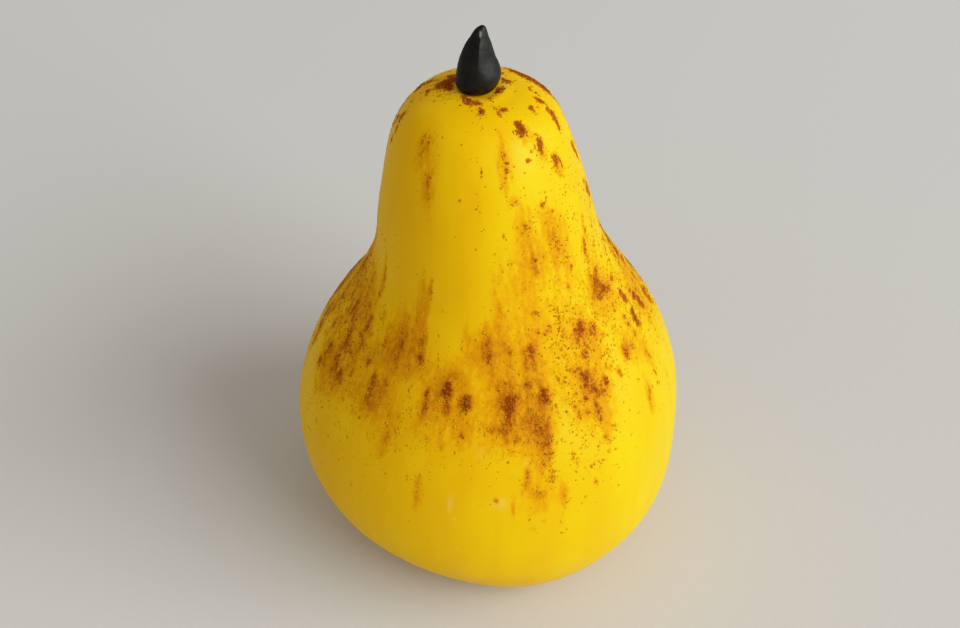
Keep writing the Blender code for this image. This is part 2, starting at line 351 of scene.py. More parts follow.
centreDabs = [
    (16, 471, 6, 7, 66, 42), (15, 484, 8, 12, 40, 18), (15, 499, 9, 12, 30, 12), (7, 473, 5, 8, 40, 12),
    (-2, 461, 11, 12, 17, 5), (-1, 474, 10, 14, 17, 5), (-3.5, 483, 12, 15, 17, 5), (12, 532, 4, 4, 76, 72),
    (4, 526, 2, 2, 66, 63), (1, 532, 5, 3, 47, 50), (18, 546, 5, 7, 90, 81), (18, 557, 6, 6, 90, 81),
    (16, 553, 5, 5, 47, 54), (5, 551, 7, 8, 85, 63), (5, 561, 6, 9, 90, 77), (4.5, 574, 5.1, 10, 44, 33),
    (4, 589, 5.1, 10, 34, 24), (4, 603, 5.1, 8, 24, 20), (4, 569, 15, 27, 23, 18), (8, 550, 5, 5, 47, 50),
    (1, 565, 4, 5, 52, 54), (13, 593, 5, 5, 29, 35), (12, 587, 13, 14, 20, 22), (16, 570, 8, 14, 32, 22),
    (17, 598, 7, 8, 32, 32), (17, 612, 6, 8, 49, 43), (17, 623, 4, 7, 44, 43), (15, 612, 9, 12, 35, 35),
    (12, 609, 10, 9, 29, 30), (-1, 606, 4, 4, 52, 59), (0.5, 601, 7, 5, 38, 45), (2, 607, 8, 5, 47, 54),
    (15, 630, 8, 8, 35, 38), (17, 640, 6, 10, 49, 43), (16, 651, 8, 8, 35, 38), (17, 662, 6, 8, 32, 35),
    (15, 675, 3, 8, 35, 32), (17.5, 678, 5, 9, 20, 27), (18, 698, 3, 6, 40, 50), (5.5, 644, 3, 2, 66, 63),
    (4, 623, 4, 6, 33, 36), (7, 622, 7, 4, 33, 41), (-10.5, 618, 4, 4, 55, 60), (10.5, 685, 3, 7, 62, 41),
    (10.5, 700, 5, 12, 29, 14), (10, 716, 5, 10, 20, 10), (13.5, 726, 6, 8, 30, 21), (14, 740, 5, 8, 24, 17),
    (15, 734, 2, 4, 24, 28), (16, 731, 3, 4, 24, 28), (16, 755, 7, 13, 12, 7), (22, 741, 5, 16, 38, 12),
    (22, 761, 3, 9, 22, 8), (2, 733, 3, 3, 85, 90), (7, 750, 3, 19, 30, 10), (16, 787, 3, 3, 40, 40),
    (13, 804, 5, 7, 20, 20), (21, 800, 5, 17, 15, 8), (25, 669, 2, 8, 35, 35), (26, 686, 2, 4, 50, 50),
    (31, 703, 3, 3, 70, 70), (32, 740, 3, 4, 60, 60), (37, 662, 4, 4, 50, 50), (6, 622, 43, 38, 5, 11),
    (10, 505, 40, 40, 5, 6),
]
leftBellyDabs = [
    (-18, 538, 6, 6, 85, 80), (-18, 550, 7, 8, 90, 80), (-18, 561, 6, 7, 50, 40), (-17, 571, 13, 14, 30, 15),
    (-16, 520, 15, 9, 30, 10), (-10.5, 552, 5, 5, 60, 60), (-10, 559, 6, 6, 75, 70), (-10, 568, 6, 6, 95, 90),
    (-12, 565, 5, 8, 40, 40), (-25, 562, 3, 10, 45, 20), (-24, 577, 3, 10, 40, 15), (-24.5, 593, 4, 10, 35, 10),
    (-17, 585, 8, 8, 35, 25), (-47, 596, 10, 10, 26, 22), (-46, 584, 6, 9, 26, 19), (-42, 583, 6, 7, 18, 13),
    (-43.5, 592, 18, 14, 14, 10), (-46, 620, 6, 7, 32, 26), (-45, 625, 7, 7, 26, 26), (-46, 639, 6, 8, 26, 16),
    (-45, 611, 4, 3, 32, 32), (-42, 631, 8, 4, 18, 19), (-49, 659, 3, 6, 29, 24), (-36, 626, 3, 7, 30, 15),
    (-55, 655, 3, 2, 50, 59), (-61.5, 660, 3, 5, 46, 51), (-71, 696, 4, 3, 50, 51), (-61.5, 634, 5.9, 6, 47, 54),
    (-64, 632, 6.8, 7, 32, 44), (-63, 646, 3.4, 4, 30, 41), (-59, 638, 2.6, 3, 35, 41), (-67, 642, 4.2, 5, 30, 41),
    (-57, 604, 4, 9, 46, 42), (-59, 590, 3, 6, 34, 42), (-52.5, 568, 5, 8, 38, 30), (-45, 546, 5, 5, 22, 16),
    (-40, 553, 4, 5, 22, 16), (-30, 506, 5, 12, 40, 30), (-29.5, 523, 4, 7, 35, 25), (-41, 519, 11, 18, 29, 8),
    (-42, 538, 13, 13, 22, 8), (-34.5, 540, 15, 12, 20, 10), (-34, 677, 6, 21, 30, 10), (-34, 661, 4, 9, 25, 10),
    (-42, 791, 3, 4, 36, 40), (-21, 719, 4, 18, 30, 10), (-20.5, 753, 3, 15, 25, 5), (-24.5, 719, 2, 5, 30, 25),
    (-16, 645, 3, 5, 30, 20), (-21, 639, 5, 4, 20, 20), (-36, 616, 64, 46, 5, 20),
]
leftShoulderDabs = [
    (-76.2, 533, 4, 17, 60, 50), (-61.8, 519, 4, 14, 55, 50), (-68.5, 576, 4, 10, 65, 60), (-68, 607, 4, 12, 50, 50),
    (-65.8, 621, 4.2, 6, 72, 70), (-61.8, 630, 4.2, 8, 68, 70), (-74.8, 622, 4.2, 7, 68, 70),
    (-75.5, 643, 5, 6, 65, 60), (-75.8, 665, 5, 7, 65, 65), (-30.8, 509, 4, 7, 60, 20), (-46.8, 582, 5, 6, 55, 30),
    (-41.8, 577, 5, 5, 40, 30), (-52.2, 569, 5, 6, 55, 30), (-24.8, 562, 3, 10, 60, 20), (-24.2, 586, 4, 10, 45, 20),
    (-59.8, 558, 4, 11, 45, 40), (-48.5, 517, 4, 13, 40, 20), (-82.2, 600, 4, 13, 45, 40), (-87.5, 442, 4, 7, 42, 42),
    (-92, 470, 7, 10, 42, 42), (-93.5, 490, 8, 10, 42, 42), (-95, 511, 9, 10, 34, 42), (-97, 534, 9, 10, 25, 29),
    (-84, 471, 6, 4, 34, 34), (-78, 436, 4, 6, 29, 30), (-72, 444, 3, 6, 34, 34), (-95, 560, 9, 6, 36, 43),
    (-93, 576, 7, 6, 57, 58), (-94, 596, 10, 6, 32, 43), (-95.5, 617, 6, 7, 50, 54), (-91, 607, 5, 5, 50, 50),
    (-92, 628, 6, 7, 39, 47), (-95, 662, 5, 7, 39, 43), (-91.5, 660, 10, 11, 70, 60), (-89, 680, 7, 12, 55, 50),
    (-95, 638, 9, 9, 60, 60), (-84, 635, 5, 7, 29, 29), (-75, 512, 5, 6, 29, 34), (-74, 527, 5, 8, 29, 29),
    (-74, 541, 5, 7, 36, 36), (-73, 549, 6, 4, 42, 43), (-79, 557, 3, 3, 29, 36), (-79, 496, 4, 11, 25, 17),
    (-62, 378, 4, 8, 21, 9), (-62, 402, 4, 12, 29, 9), (-61.5, 425, 4, 12, 42, 13), (-61.5, 443, 4, 10, 42, 17),
    (-62, 455, 3, 3, 50, 42), (-62, 476, 7, 10, 25, 17), (-61, 502, 4, 4, 63, 59), (-65.5, 491, 4, 6, 34, 38),
    (-65, 510, 4, 5, 34, 42), (-80, 579, 5, 4, 29, 36), (-79, 592, 4, 3, 39, 43), (-77, 601, 4, 5, 25, 26),
    (-69, 560, 5, 6, 42, 43), (-68, 571, 7, 6, 42, 47), (-68, 582, 5, 6, 36, 36), (-67, 591, 5, 6, 36, 43),
    (-63.5, 544, 5, 3, 50, 50), (-62, 534, 6, 6, 36, 43), (-61.5, 549, 4, 4, 54, 54), (-58, 529, 3, 3, 39, 43),
    (-61, 517, 5, 8, 34, 38), (-57.5, 552, 4, 3, 36, 40), (-74, 618, 5.1, 6, 49, 54), (-74, 629, 4.2, 5, 42, 50),
    (-77.5, 628, 4, 6, 32, 36), (-68.5, 612, 5.1, 7, 45, 50), (-69, 602, 4, 6, 36, 43), (-64, 582, 4, 4, 39, 43),
    (-61.5, 584, 4, 4, 36, 40), (-68, 624, 4.2, 3, 38, 47), (-64, 614, 3.4, 8, 32, 40), (-75, 665, 4, 6, 42, 43),
    (-72, 654, 6, 4, 36, 40), (-28, 363, 3, 9, 25, 5), (-29, 386, 4, 13, 40, 10), (-30, 408, 3, 11, 35, 10),
    (-31, 430, 3, 11, 30, 10), (-40, 451, 7, 5, 21, 20), (-40.5, 468, 5, 11, 21, 12), (-40, 484, 6, 13, 27, 16),
    (-40, 502, 6, 13, 27, 16), (-31, 459, 5, 11, 35, 10), (-30.5, 481, 8, 14, 40, 15), (-48.5, 485, 4, 3, 22, 20),
    (-54.5, 477, 5, 6, 21, 17), (-52, 531, 4, 5, 25, 22), (-52, 549, 6, 11, 21, 11), (-46, 518, 4, 9, 19, 12),
    (-11, 446, 3, 3, 30, 30), (-22.5, 412, 3, 7, 20, 10), (-70, 347, 3, 5, 29, 26), (11, 269, 2, 5, 40, 35),
    (5.5, 398, 4, 16, 30, 5), (3, 423, 4, 14, 25, 5), (-67, 592, 64, 70, 5, 29), (-73.5, 525, 41, 47, 5, 22),
    (-86, 510, 45, 70, 5, 34),
]
seenDabs = [
    *crownDabs, *neckDabs, *rightShoulderDabs, *rightBellyDabs, *centreDabs, *leftBellyDabs, *leftShoulderDabs]

# Thin veils of powder brushed out between the dabs: (degrees, millimetres down, half width, half length, percent)

veilTable = [
    (-2.5, 47, 2.1, 2.9, 60), (4, 53, 4.6, 7.6, 22), (5, 56, 2, 3.7, 50), (16, 56, 1.4, 3.7, 45),
    (14, 62, 1.7, 4.5, 40), (6, 62, 4.2, 2.4, 20), (16, 47, 1.4, 3.4, 35), (20, 50, 3.8, 5, 15),
    (-18, 54, 1.9, 3.1, 35), (-11, 56, 1.3, 2.4, 30), (-24, 58, 1.2, 3.4, 25), (-18, 62, 5.1, 3.8, 12),
    (-38, 49, 1.9, 5.4, 36), (-46, 52, 2, 5.2, 26), (-33, 45, 0.9, 7.2, 25), (-28, 52, 1.4, 2.5, 20),
    (-44, 61, 2.8, 2.9, 30), (-36, 64, 3.8, 5.5, 12), (-66, 60, 5.9, 6.6, 22), (-71, 50, 2.5, 5.4, 25),
    (-67, 65, 3.4, 3.3, 25), (43, 49, 2.5, 4.5, 26), (36, 58, 3.4, 4.9, 35), (38, 63, 1.9, 4.1, 20),
    (62, 44, 2.9, 3.6, 30), (42, 30, 2.3, 4.7, 23), (36, 27, 1.5, 3.5, 20), (24, 27, 1.3, 4.2, 20),
    (27, 32, 1.6, 2.8, 20), (33, 44, 3, 4.8, 7), (43, 37, 3.2, 4.5, 12), (86, 54, 3.8, 5.6, 25),
    (61, 55, 1.9, 3.4, 25), (68, 59, 1.5, 4, 20), (60, 66, 1.2, 3.8, 20), (14, 72, 2.4, 4.3, 20),
    (-43, 15, 1.5, 3.1, 20), (37, 11.8, 0.9, 1.5, 30), (46, 15.2, 0.9, 1.7, 30), (57, 18.8, 0.9, 1.8, 35),
    (-33, 20, 1.1, 3.7, 25), (16, 15.5, 0.9, 4, 32), (-2, 22, 0.8, 6.6, 8), (-12, 28, 1, 8.8, 6),
    (6, 38, 0.8, 5.4, 12), (94, 47, 2.2, 5.2, 15), (-20, 74, 0.9, 3.3, 15), (-90, 50, 3.2, 9, 28),
    (66, 37, 1.7, 5.5, 15), (72, 47, 3.2, 4, 16), (10, 36, 2.2, 6, 8), (21, 74, 0.7, 2.5, 15), (21, 37, 2, 6.5, 22),
    (10, 58, 2.4, 4, 20), (-12, 60, 3, 2.6, 14),
]

# Painted highlight streaks: pale streaks on the lower front where small bumps and scratches in the coat catch the
# light, in the same order

highlightStreakTable = [
    (-10.6, 74.6, 0.36, 1.2, 100), (3, 74, 0.9, 0.9, 42), (-3.2, 63.9, 0.9, 1, 30), (-9, 77.8, 0.35, 0.35, 40),
    (10.8, 65.6, 0.6, 1.5, 35),
]

dustValues = {
    "seed": 21,
    "stainScale": 0.95,
    "stainPower": 1.45,  # faint dabs are fainter than their number says
    "veilScale": 0.74,
    "veilStreaks": 0.75,  # how strongly the brush's hairs show in the veils
    "wander": (0.26, 0.4),  # how far the edges of dabs wander across and along
    "haloShare": 0.20,
    "haloWidth": 1.9,
    "haloRise": 1.4,
    "tail": 2.1,  # the halo is longer below a dab, where the brush left it
    "hiddenClusters": 40,  # clusters of dabs on the side away from the front
    "hiddenArc": (102, 156),  # degrees where they start, and how far they go
    "hiddenShares": [0.62, 0.2, 0.18],  # of the shoulder, crown and neck
    "hiddenPlaces": [(54, 8), (16, 2.5), (28, 6)],  # millimetres down, and their spread
    "hiddenDabs": (6, 20),  # in a cluster
    "hiddenSize": (0.43, 0.35),  # middle half width, spread of its logarithm
    "hiddenStain": (0.52, 0.22),
    "grainCount": 23500,
    "grainRadius": 0.122,
    "grainSpread": 0.38,
    "grainRange": (0.06, 0.36),  # smallest and largest radius
    "grainArms": (0.65, 1.4),  # how uneven a lump is
    "grainHeight": 0.2,
    "grainLift": 0.05,
    "grainLimit": 1.3,  # how soon a dab is full of grains, so that more of them lie round it
    "veilGrains": 0.28,
    "strayGrains": 0.0014,  # grains scattered on the clean coat
    "grainTone": (0.25, 0.16),
    "thinTone": 0.68,  # how much lighter they are where few lie
    "softTone": 0.3,  # and how much more on the soft dabs
    "thinLoad": 0.65,
}


def hiddenDabs():
    # clusters like the seen ones, on the far side: most on the shoulder, some on the crown and neck
    v = dustValues
    rng = np.random.default_rng(v["seed"])
    start, arc = v["hiddenArc"]
    rows, veils = [], []
    for k in range(v["hiddenClusters"]):
        kind = rng.choice(3, p=v["hiddenShares"])
        along = rng.normal(*v["hiddenPlaces"][kind])
        turn = start + arc * (k + rng.random()) / v["hiddenClusters"]
        count = rng.integers(*v["hiddenDabs"])
        radius = outlineAt(along)[0]
        size = rng.lognormal(math.log(v["hiddenSize"][0]), v["hiddenSize"][1], count)
        strength = np.clip(rng.normal(*v["hiddenStain"], count), 0.12, 0.9)
        rows.append(np.stack([
            turn + np.degrees(rng.normal(0, 1.9, count) / radius), along + rng.normal(0, 3, count),
            size, size * rng.uniform(0.8, 3, count), strength, strength], -1))
        if kind == 0:
            veils.append((turn, along, rng.uniform(2.2, 5), rng.uniform(3.5, 8), 34))
            rows.append(np.array([[turn, along, rng.uniform(2.5, 5), rng.uniform(3, 5.5), 0.05, 0.35]]))
    return np.vstack(rows), veils


def crispness(turn, along):
    # 1 on the crown, where the dabs are clear blots, down to 0 on the belly, where they are brushed out
    right = easeStep(math.radians(54), math.radians(74), turn) * (1 - easeStep(math.radians(110), math.pi, turn))
    return np.maximum(1 - easeStep(9, 42, along), 0.75 * right)


def dustField(turn, along, radius, points, dabs):
    # dab strength at each place: exp(-q^n) for the core, with q the squared distance in half sizes and
    # n from 1.05 to 2 with the crispness there, and a wider fainter halo that is longer below;
    # dabs add up as 1 - the product of (1 - strength)
    v = dustValues
    across, down = v["wander"]
    shift = across * valueNoise(points, 0.9, 31) + 0.5 * across * valueNoise(points, 0.4, 32)
    slide = down * valueNoise(points, 1.1, 33) + 0.5 * down * valueNoise(points, 0.45, 34)
    clear = np.ones(len(turn))
    load = np.zeros(len(turn))
    dabs = dabs.copy()
    dabs[:, 4] = v["stainScale"] * dabs[:, 4] ** v["stainPower"]
    for angle, place, wide, tall, stain, grains in dabs:
        near = np.abs(along - place) < 3.2 * tall + 2
        gap = (turn[near] - math.radians(angle) + np.pi) % (2 * np.pi) - np.pi
        dx = gap * radius[near] + shift[near] * min(1, wide)
        dy = along[near] - place + slide[near] * min(1, tall)
        clean = 1.05 + 0.95 * crispness(math.radians((angle + 180) % 360 - 180), place)
        core = np.exp(-((dx / wide) ** 2 + (dy / tall) ** 2) ** clean)
        fade = np.where(dy > 0, v["tail"] * tall, v["haloRise"] * tall)
        halo = np.exp(-((dx / (v["haloWidth"] * wide)) ** 2 + (dy / fade) ** 2))
        clear[near] *= 1 - np.clip(stain * (core + v["haloShare"] * halo), 0, 0.97)
        load[near] += grains * (core + 0.3 * halo)
    return 1 - clear, load


def veilField(turn, along, radius, veils):
    # sum of bell curves exp(-q), broken into streaks by noise that is stretched down the outline
    hairs = np.stack([28 * np.sin(turn), 28 * np.cos(turn), 0.16 * along], -1)
    streak = 0.6 * valueNoise(hairs, 1.0, 61) + 0.4 * valueNoise(hairs * (1, 1, 2), 0.5, 62)
    patches = valueNoise(hairs * (1, 1, 4), 3.5, 63)
    veil = np.zeros(len(turn))
    for angle, place, wide, tall, strength in veils:
        gap = (turn - math.radians(angle) + np.pi) % (2 * np.pi) - np.pi
        dx, dy = gap * radius, along - place
        veil += strength / 100 * np.exp(-(dx / (1.25 * wide)) ** 2 - (dy / (1.2 * tall)) ** 2)
    veil = 1 - np.exp(-dustValues["veilScale"] * veil)
    return veil * np.clip(1 + dustValues["veilStreaks"] * (streak + 0.35 * patches), 0.15, 1.9)


def makeSkin():
    v = bodyShape
    along, radius, height, middle = bodyRows()
    turns = columnTurns(v["columns"], v["frontCrowding"])
    rows, columns = len(along), len(turns)
    turn = np.tile(turns, rows)
    alongAll, radiusAll, heightAll, middleAll = (np.repeat(a, columns) for a in (along, radius, height, middle))
    points = np.stack([middleAll + radiusAll * np.sin(turn), -radiusAll * np.cos(turn), heightAll], -1)
    dr, dz = np.gradient(radius), np.gradient(height)
    size = np.hypot(dr, dz)
    out, up = np.repeat(-dz / size, columns), np.repeat(dr / size, columns)
    normal = np.stack([out * np.sin(turn), -out * np.cos(turn), up], -1)
    hidden, hiddenVeils = hiddenDabs()
    dabs = np.vstack([np.array(seenDabs) / (1, 10, 10, 10, 100, 100), hidden])
    stain, load = dustField(turn, alongAll, radiusAll, points, dabs)
    veil = veilField(turn, alongAll, radiusAll, veilTable + hiddenVeils)
    # painted highlight streaks, spread like the veils
    smearAndSheen = veilField(turn, alongAll, radiusAll, highlightStreakTable)
    onCoat = (alongAll > v["coatStart"]) & (heightAll > v["footEdge"])
    stain, veil, load = stain * onCoat, veil * onCoat, (load + dustValues["veilGrains"] * veil) * onCoat
    # waves of two sizes, and a lip round the stalk as a bell curve of the distance from it
    slow, quick = (valueNoise(points, cell, seed) for cell, seed in zip(v["waveSizes"], (5, 6)))
    waves = v["slowWaves"] * slow + 0.25 * v["slowWaves"] * quick
    lip = np.exp(-((radiusAll - v["lipRadius"]) / v["lipWidth"]) ** 2) * (heightAll > 90) * (
        0.75 + 0.5 * valueNoise(points, v["lipNoise"], 7))
    calm = easeStep(3, 12, alongAll) * easeStep(0, 6, heightAll)
    # the heel is flatter at the front left and fuller at the front right, each as a bell curve
    tilt = [
        depth * np.exp(-((turn - angle) / spread) ** 2 - ((heightAll - level) / tall) ** 2)
        * easeStep(0.3, 1.2, heightAll) for depth, angle, spread, level, tall in v["heel"]]
    relief = waves * calm + v["lipHeight"] * lip + v["dustThickness"] * stain + sum(tilt)
    points = points + normal * relief[:, None]
    poles = np.array([[v["stalkAxis"], 0, v["height"] - v["holeDepth"]], [v["lean"][0][1], 0, 0]])
    first, last = np.arange(columns), (rows - 1) * columns + np.arange(columns)
    count = rows * columns
    fields = {"dust": stain, "veil": veil, "crisp": crispness(turn, alongAll), "smearAndSheen": smearAndSheen}
    skin = putMesh(
        "pearSkin", np.vstack([points, poles]), gridFaces(rows, columns),
        np.vstack([capFaces(first, count, False), capFaces(last, count + 1, True)]),
        {label: np.append(values, [0, 0]) for label, values in fields.items()})
    print("skin:", rows, "rows of", columns, "with", len(dabs), "dabs")
    return skin, points.reshape(rows, columns, 3), *(a.reshape(rows, columns) for a in (stain, load, alongAll))


skin, skinGrid, stainGrid, grainLoad, alongGrid = makeSkin()


# Grains of the powder: small closed lumps, half sunk in the coat

def makeGrains():
    v = dustValues
    count = v["grainCount"]
    rng = np.random.default_rng(v["seed"] + 1)
    rows, columns = grainLoad.shape
    beside = np.roll(skinGrid, -1, axis=1)
    acrossEdge = (beside - skinGrid)[:-1]
    downEdge = np.diff(skinGrid, axis=0)
    area = np.linalg.norm(np.cross(acrossEdge, downEdge), axis=-1)
    zone = easeStep(3.2, 6, alongGrid) * (1 - easeStep(80, 100, alongGrid))
    flow = valueNoise(skinGrid.reshape(-1, 3) * (1, 1, 0.5), 2.2, 41).reshape(rows, columns)
    curls = valueNoise(skinGrid.reshape(-1, 3), 0.75, 42).reshape(rows, columns)
    crispGrid = crispness(columnTurns(columns, bodyShape["frontCrowding"])[None], alongGrid)
    # load / (1 + limit · load): even in the middle of a dab, gathered into curls by the finer noise
    even = grainLoad / (1 + v["grainLimit"] * grainLoad) * np.clip(1 + 1.6 * curls, 0, 2.5)
    density = even * np.clip(1 + 0.6 * flow, 0.1, 2) + v["strayGrains"] * zone * np.clip(1 + 1.5 * flow, 0, 3)
    share = (density[:-1] * area).ravel()
    cells = rng.choice(len(share), count, p=share / share.sum())
    i, j = np.divmod(cells, columns)
    a, b = rng.random((2, count, 1))
    k = (j + 1) % columns
    # place in the cell: the blend of its four corners by a and b
    upper = skinGrid[i, j] * (1 - a) + skinGrid[i, k] * a
    lower = skinGrid[i + 1, j] * (1 - a) + skinGrid[i + 1, k] * a
    middle = upper * (1 - b) + lower * b
    side = acrossEdge[i, j] / np.linalg.norm(acrossEdge[i, j], axis=1, keepdims=True)
    up = np.cross(downEdge[i, j], acrossEdge[i, j])
    up /= np.linalg.norm(up, axis=1, keepdims=True)
    spin = rng.uniform(0, 2 * np.pi, (count, 1))
    fore = np.cross(up, side)
    side, fore = side * np.cos(spin) + fore * np.sin(spin), fore * np.cos(spin) - side * np.sin(spin)
    size = np.clip(v["grainRadius"] * rng.lognormal(0, v["grainSpread"], count), *v["grainRange"])
    # each lump is an octahedron with uneven arms: four round the waist, one up, one down
    tall = v["grainHeight"]
    arms = np.array([[1, 0, 0], [0, 1, 0], [-1, 0, 0], [0, -1, 0], [0, 0, tall], [0, 0, -tall]])
    reach = size[:, None] * rng.uniform(*v["grainArms"], (count, 6))
    local = arms[None] * reach[:, :, None]
    world = (middle + up * size[:, None] * v["grainLift"])[:, None] + (
        local[:, :, :1] * side[:, None] + local[:, :, 1:2] * fore[:, None] + local[:, :, 2:] * up[:, None])
    faces = np.array([[0, 1, 4], [1, 2, 4], [2, 3, 4], [3, 0, 4], [1, 0, 5], [2, 1, 5], [3, 2, 5], [0, 3, 5]])
    triangles = (faces[None] + 6 * np.arange(count)[:, None, None]).reshape(-1, 3)
    # lighter where the powder is thin, and where the dabs are soft
    thin = np.exp(-grainLoad[i, j] / v["thinLoad"]) * (1 - stainGrid[i, j])
    lighter = thin * (v["thinTone"] + v["softTone"] * (1 - crispGrid[i, j]))
    tone = np.clip(rng.normal(*v["grainTone"], count) + lighter, 0, 1)
    grains = putMesh(
        "dustGrains", world.reshape(-1, 3), np.zeros((0, 4), int), triangles, {"tone": np.repeat(tone, 6)})
    print("grains:", count)
    return grains


grains = makeGrains()


# The stalk: a short pinched drop with a ridge towards the front

stalkValues = {
    "base": 96.0,
    "stations": [
        # height over the base, middle to the side, half width, middle in depth, half depth, corner sharpness
        (0.13, -0.62, 2.35, 0.00, 2.62, 0.0),
        (0.45, -0.45, 2.98, 0.00, 3.02, 0.0),
        (1.20, -0.32, 3.40, 0.00, 3.32, 0.05),
        (2.10, -0.14, 3.54, 0.00, 3.40, 0.1),
        (3.00, -0.05, 3.52, 0.00, 3.34, 0.2),
        (3.90, -0.04, 3.36, -0.02, 3.18, 0.5),
        (4.80, -0.10, 3.10, -0.05, 2.98, 0.75),
        (5.90, -0.20, 2.70, -0.08, 2.70, 0.9),
        (7.10, -0.15, 2.30, -0.12, 2.34, 1.0),
        (8.30, -0.05, 1.87, -0.16, 1.92, 1.0),
        (9.20, 0.04, 1.46, -0.18, 1.52, 0.95),
        (9.90, 0.12, 1.19, -0.20, 1.20, 0.9),
        (10.35, 0.17, 0.96, -0.20, 0.98, 0.8),
        (10.70, 0.28, 0.70, -0.20, 0.72, 0.6),
        (10.95, 0.38, 0.43, -0.20, 0.45, 0.4),
        (11.10, 0.42, 0.16, -0.20, 0.16, 0.2)],
    "sharpExponent": 1.35,
    "rootRadius": 1.25,
    "rootLength": 3.0,
    "columns": 168,
    "dents": 0.085,
}


def makeStalk():
    # superellipse sections |x/a|^n + |y/b|^n = 1, round at the base and pinched to four edges above
    v = stalkValues
    run = smoothThrough(v["stations"], 9)
    height, middle, wide, depthMiddle, deep, sharp = run.T
    exponent = 2 + (v["sharpExponent"] - 2) * np.clip(sharp, 0, 1)
    turn = 2 * np.pi * np.arange(v["columns"]) / v["columns"]
    c, s = np.cos(turn)[None], np.sin(turn)[None]
    reach = (np.abs(c) ** exponent[:, None] + np.abs(s) ** exponent[:, None]) ** (-1 / exponent[:, None])
    x = middle[:, None] + wide[:, None] * reach * s
    y = depthMiddle[:, None] - deep[:, None] * reach * c
    z = np.broadcast_to(height[:, None], x.shape)
    drop = np.stack([x, y, z], -1)
    rootHeights = np.array([-v["rootLength"], -1.5, 0.0, 0.1, 0.13, 0.13])
    rootRadii = np.array([v["rootRadius"]] * 4 + [v["rootRadius"] + 0.2, 2.1])
    root = np.stack([
        rootRadii[:, None] * s, -rootRadii[:, None] * c,
        np.broadcast_to(rootHeights[:, None], (6, v["columns"]))], -1)
    points = np.concatenate([root, drop])
    rows, columns = points.shape[:2]
    flat = points.reshape(-1, 3)
    # dents push the surface in and out across its own axis, fading at the base and at the tip
    outward = flat * (1, 1, 0)
    outward /= np.maximum(np.linalg.norm(outward, axis=1, keepdims=True), 0.3)
    amount = v["dents"] * valueNoise(flat * (1, 1, 0.7), 2.3, 51) + 0.25 * v["dents"] * valueNoise(flat, 0.7, 52)
    flat = flat + outward * (amount * easeStep(0.1, 0.8, flat[:, 2]) * (1 - easeStep(9.8, 11, flat[:, 2])))[:, None]
    poles = np.array([[0, 0, -v["rootLength"]], [0.42, -0.2, 11.14]])
    first, last = np.arange(columns), (rows - 1) * columns + np.arange(columns)
    place = (bodyShape["stalkAxis"], 0, v["base"])
    stalk = putMesh(
        "stalkDrop", np.vstack([flat, poles]) + place, gridFaces(rows, columns),
        np.vstack([capFaces(first, rows * columns, False), capFaces(last, rows * columns + 1, True)]), {})
    print("stalk:", rows, "rows of", columns)
    return stalk


stalk = makeStalk()


# Materials; noise scales are in cells per metre

coatLook = {
    "coat": [  # upright bands, from the deeper yellow to the lighter
        (0.36, (0.845, 0.485, 0.001)), (0.5, (0.865, 0.52, 0.001)), (0.64, (0.88, 0.56, 0.001))],
    "roughness": (0.45, 0.57),
    "dustyRoughness": 0.8,
    "specular": 0.26,
    # painted highlight: the pale colour put on the lip round the stalk
    "lipHighlight": (0.78, 0.52, 0.24),
    # painted highlight: the pale colour of the streaks on the lower front
    "smearAndSheen": (0.95, 0.62, 0.22),
    "powder": [  # from the thinnest veil to a thick dab
        (0.0, (0.86, 0.50, 0.002)), (0.2, (0.75, 0.345, 0.003)), (0.42, (0.59, 0.232, 0.005)),
        (0.68, (0.45, 0.133, 0.005)), (1.0, (0.27, 0.055, 0.003))],
    "ruggedScale": 2300, "brushedScale": 900, "blotScale": 2900, "crumbScale": 1900, "hairScale": 1300,
    "bandScale": 190, "mottleScale": 60, "glossScale": 140, "pitScale": 420, "lipHighlightScale": 800,
    "clearShare": 0.85,  # how far the crown's dabs are clear blots
    "crumbShare": 0.45,
    "stalkFoot": (0.0025, 0, -0.0955),  # moves the place to the middle of the stalk's foot
    "lipHighlightRing": (0.0030, 0.0036, 0.0041, 0.0050),
    "glow": 0.08,  # light that goes a little way into the coat
    "glowReach": (1.0, 0.55, 0.05),
}


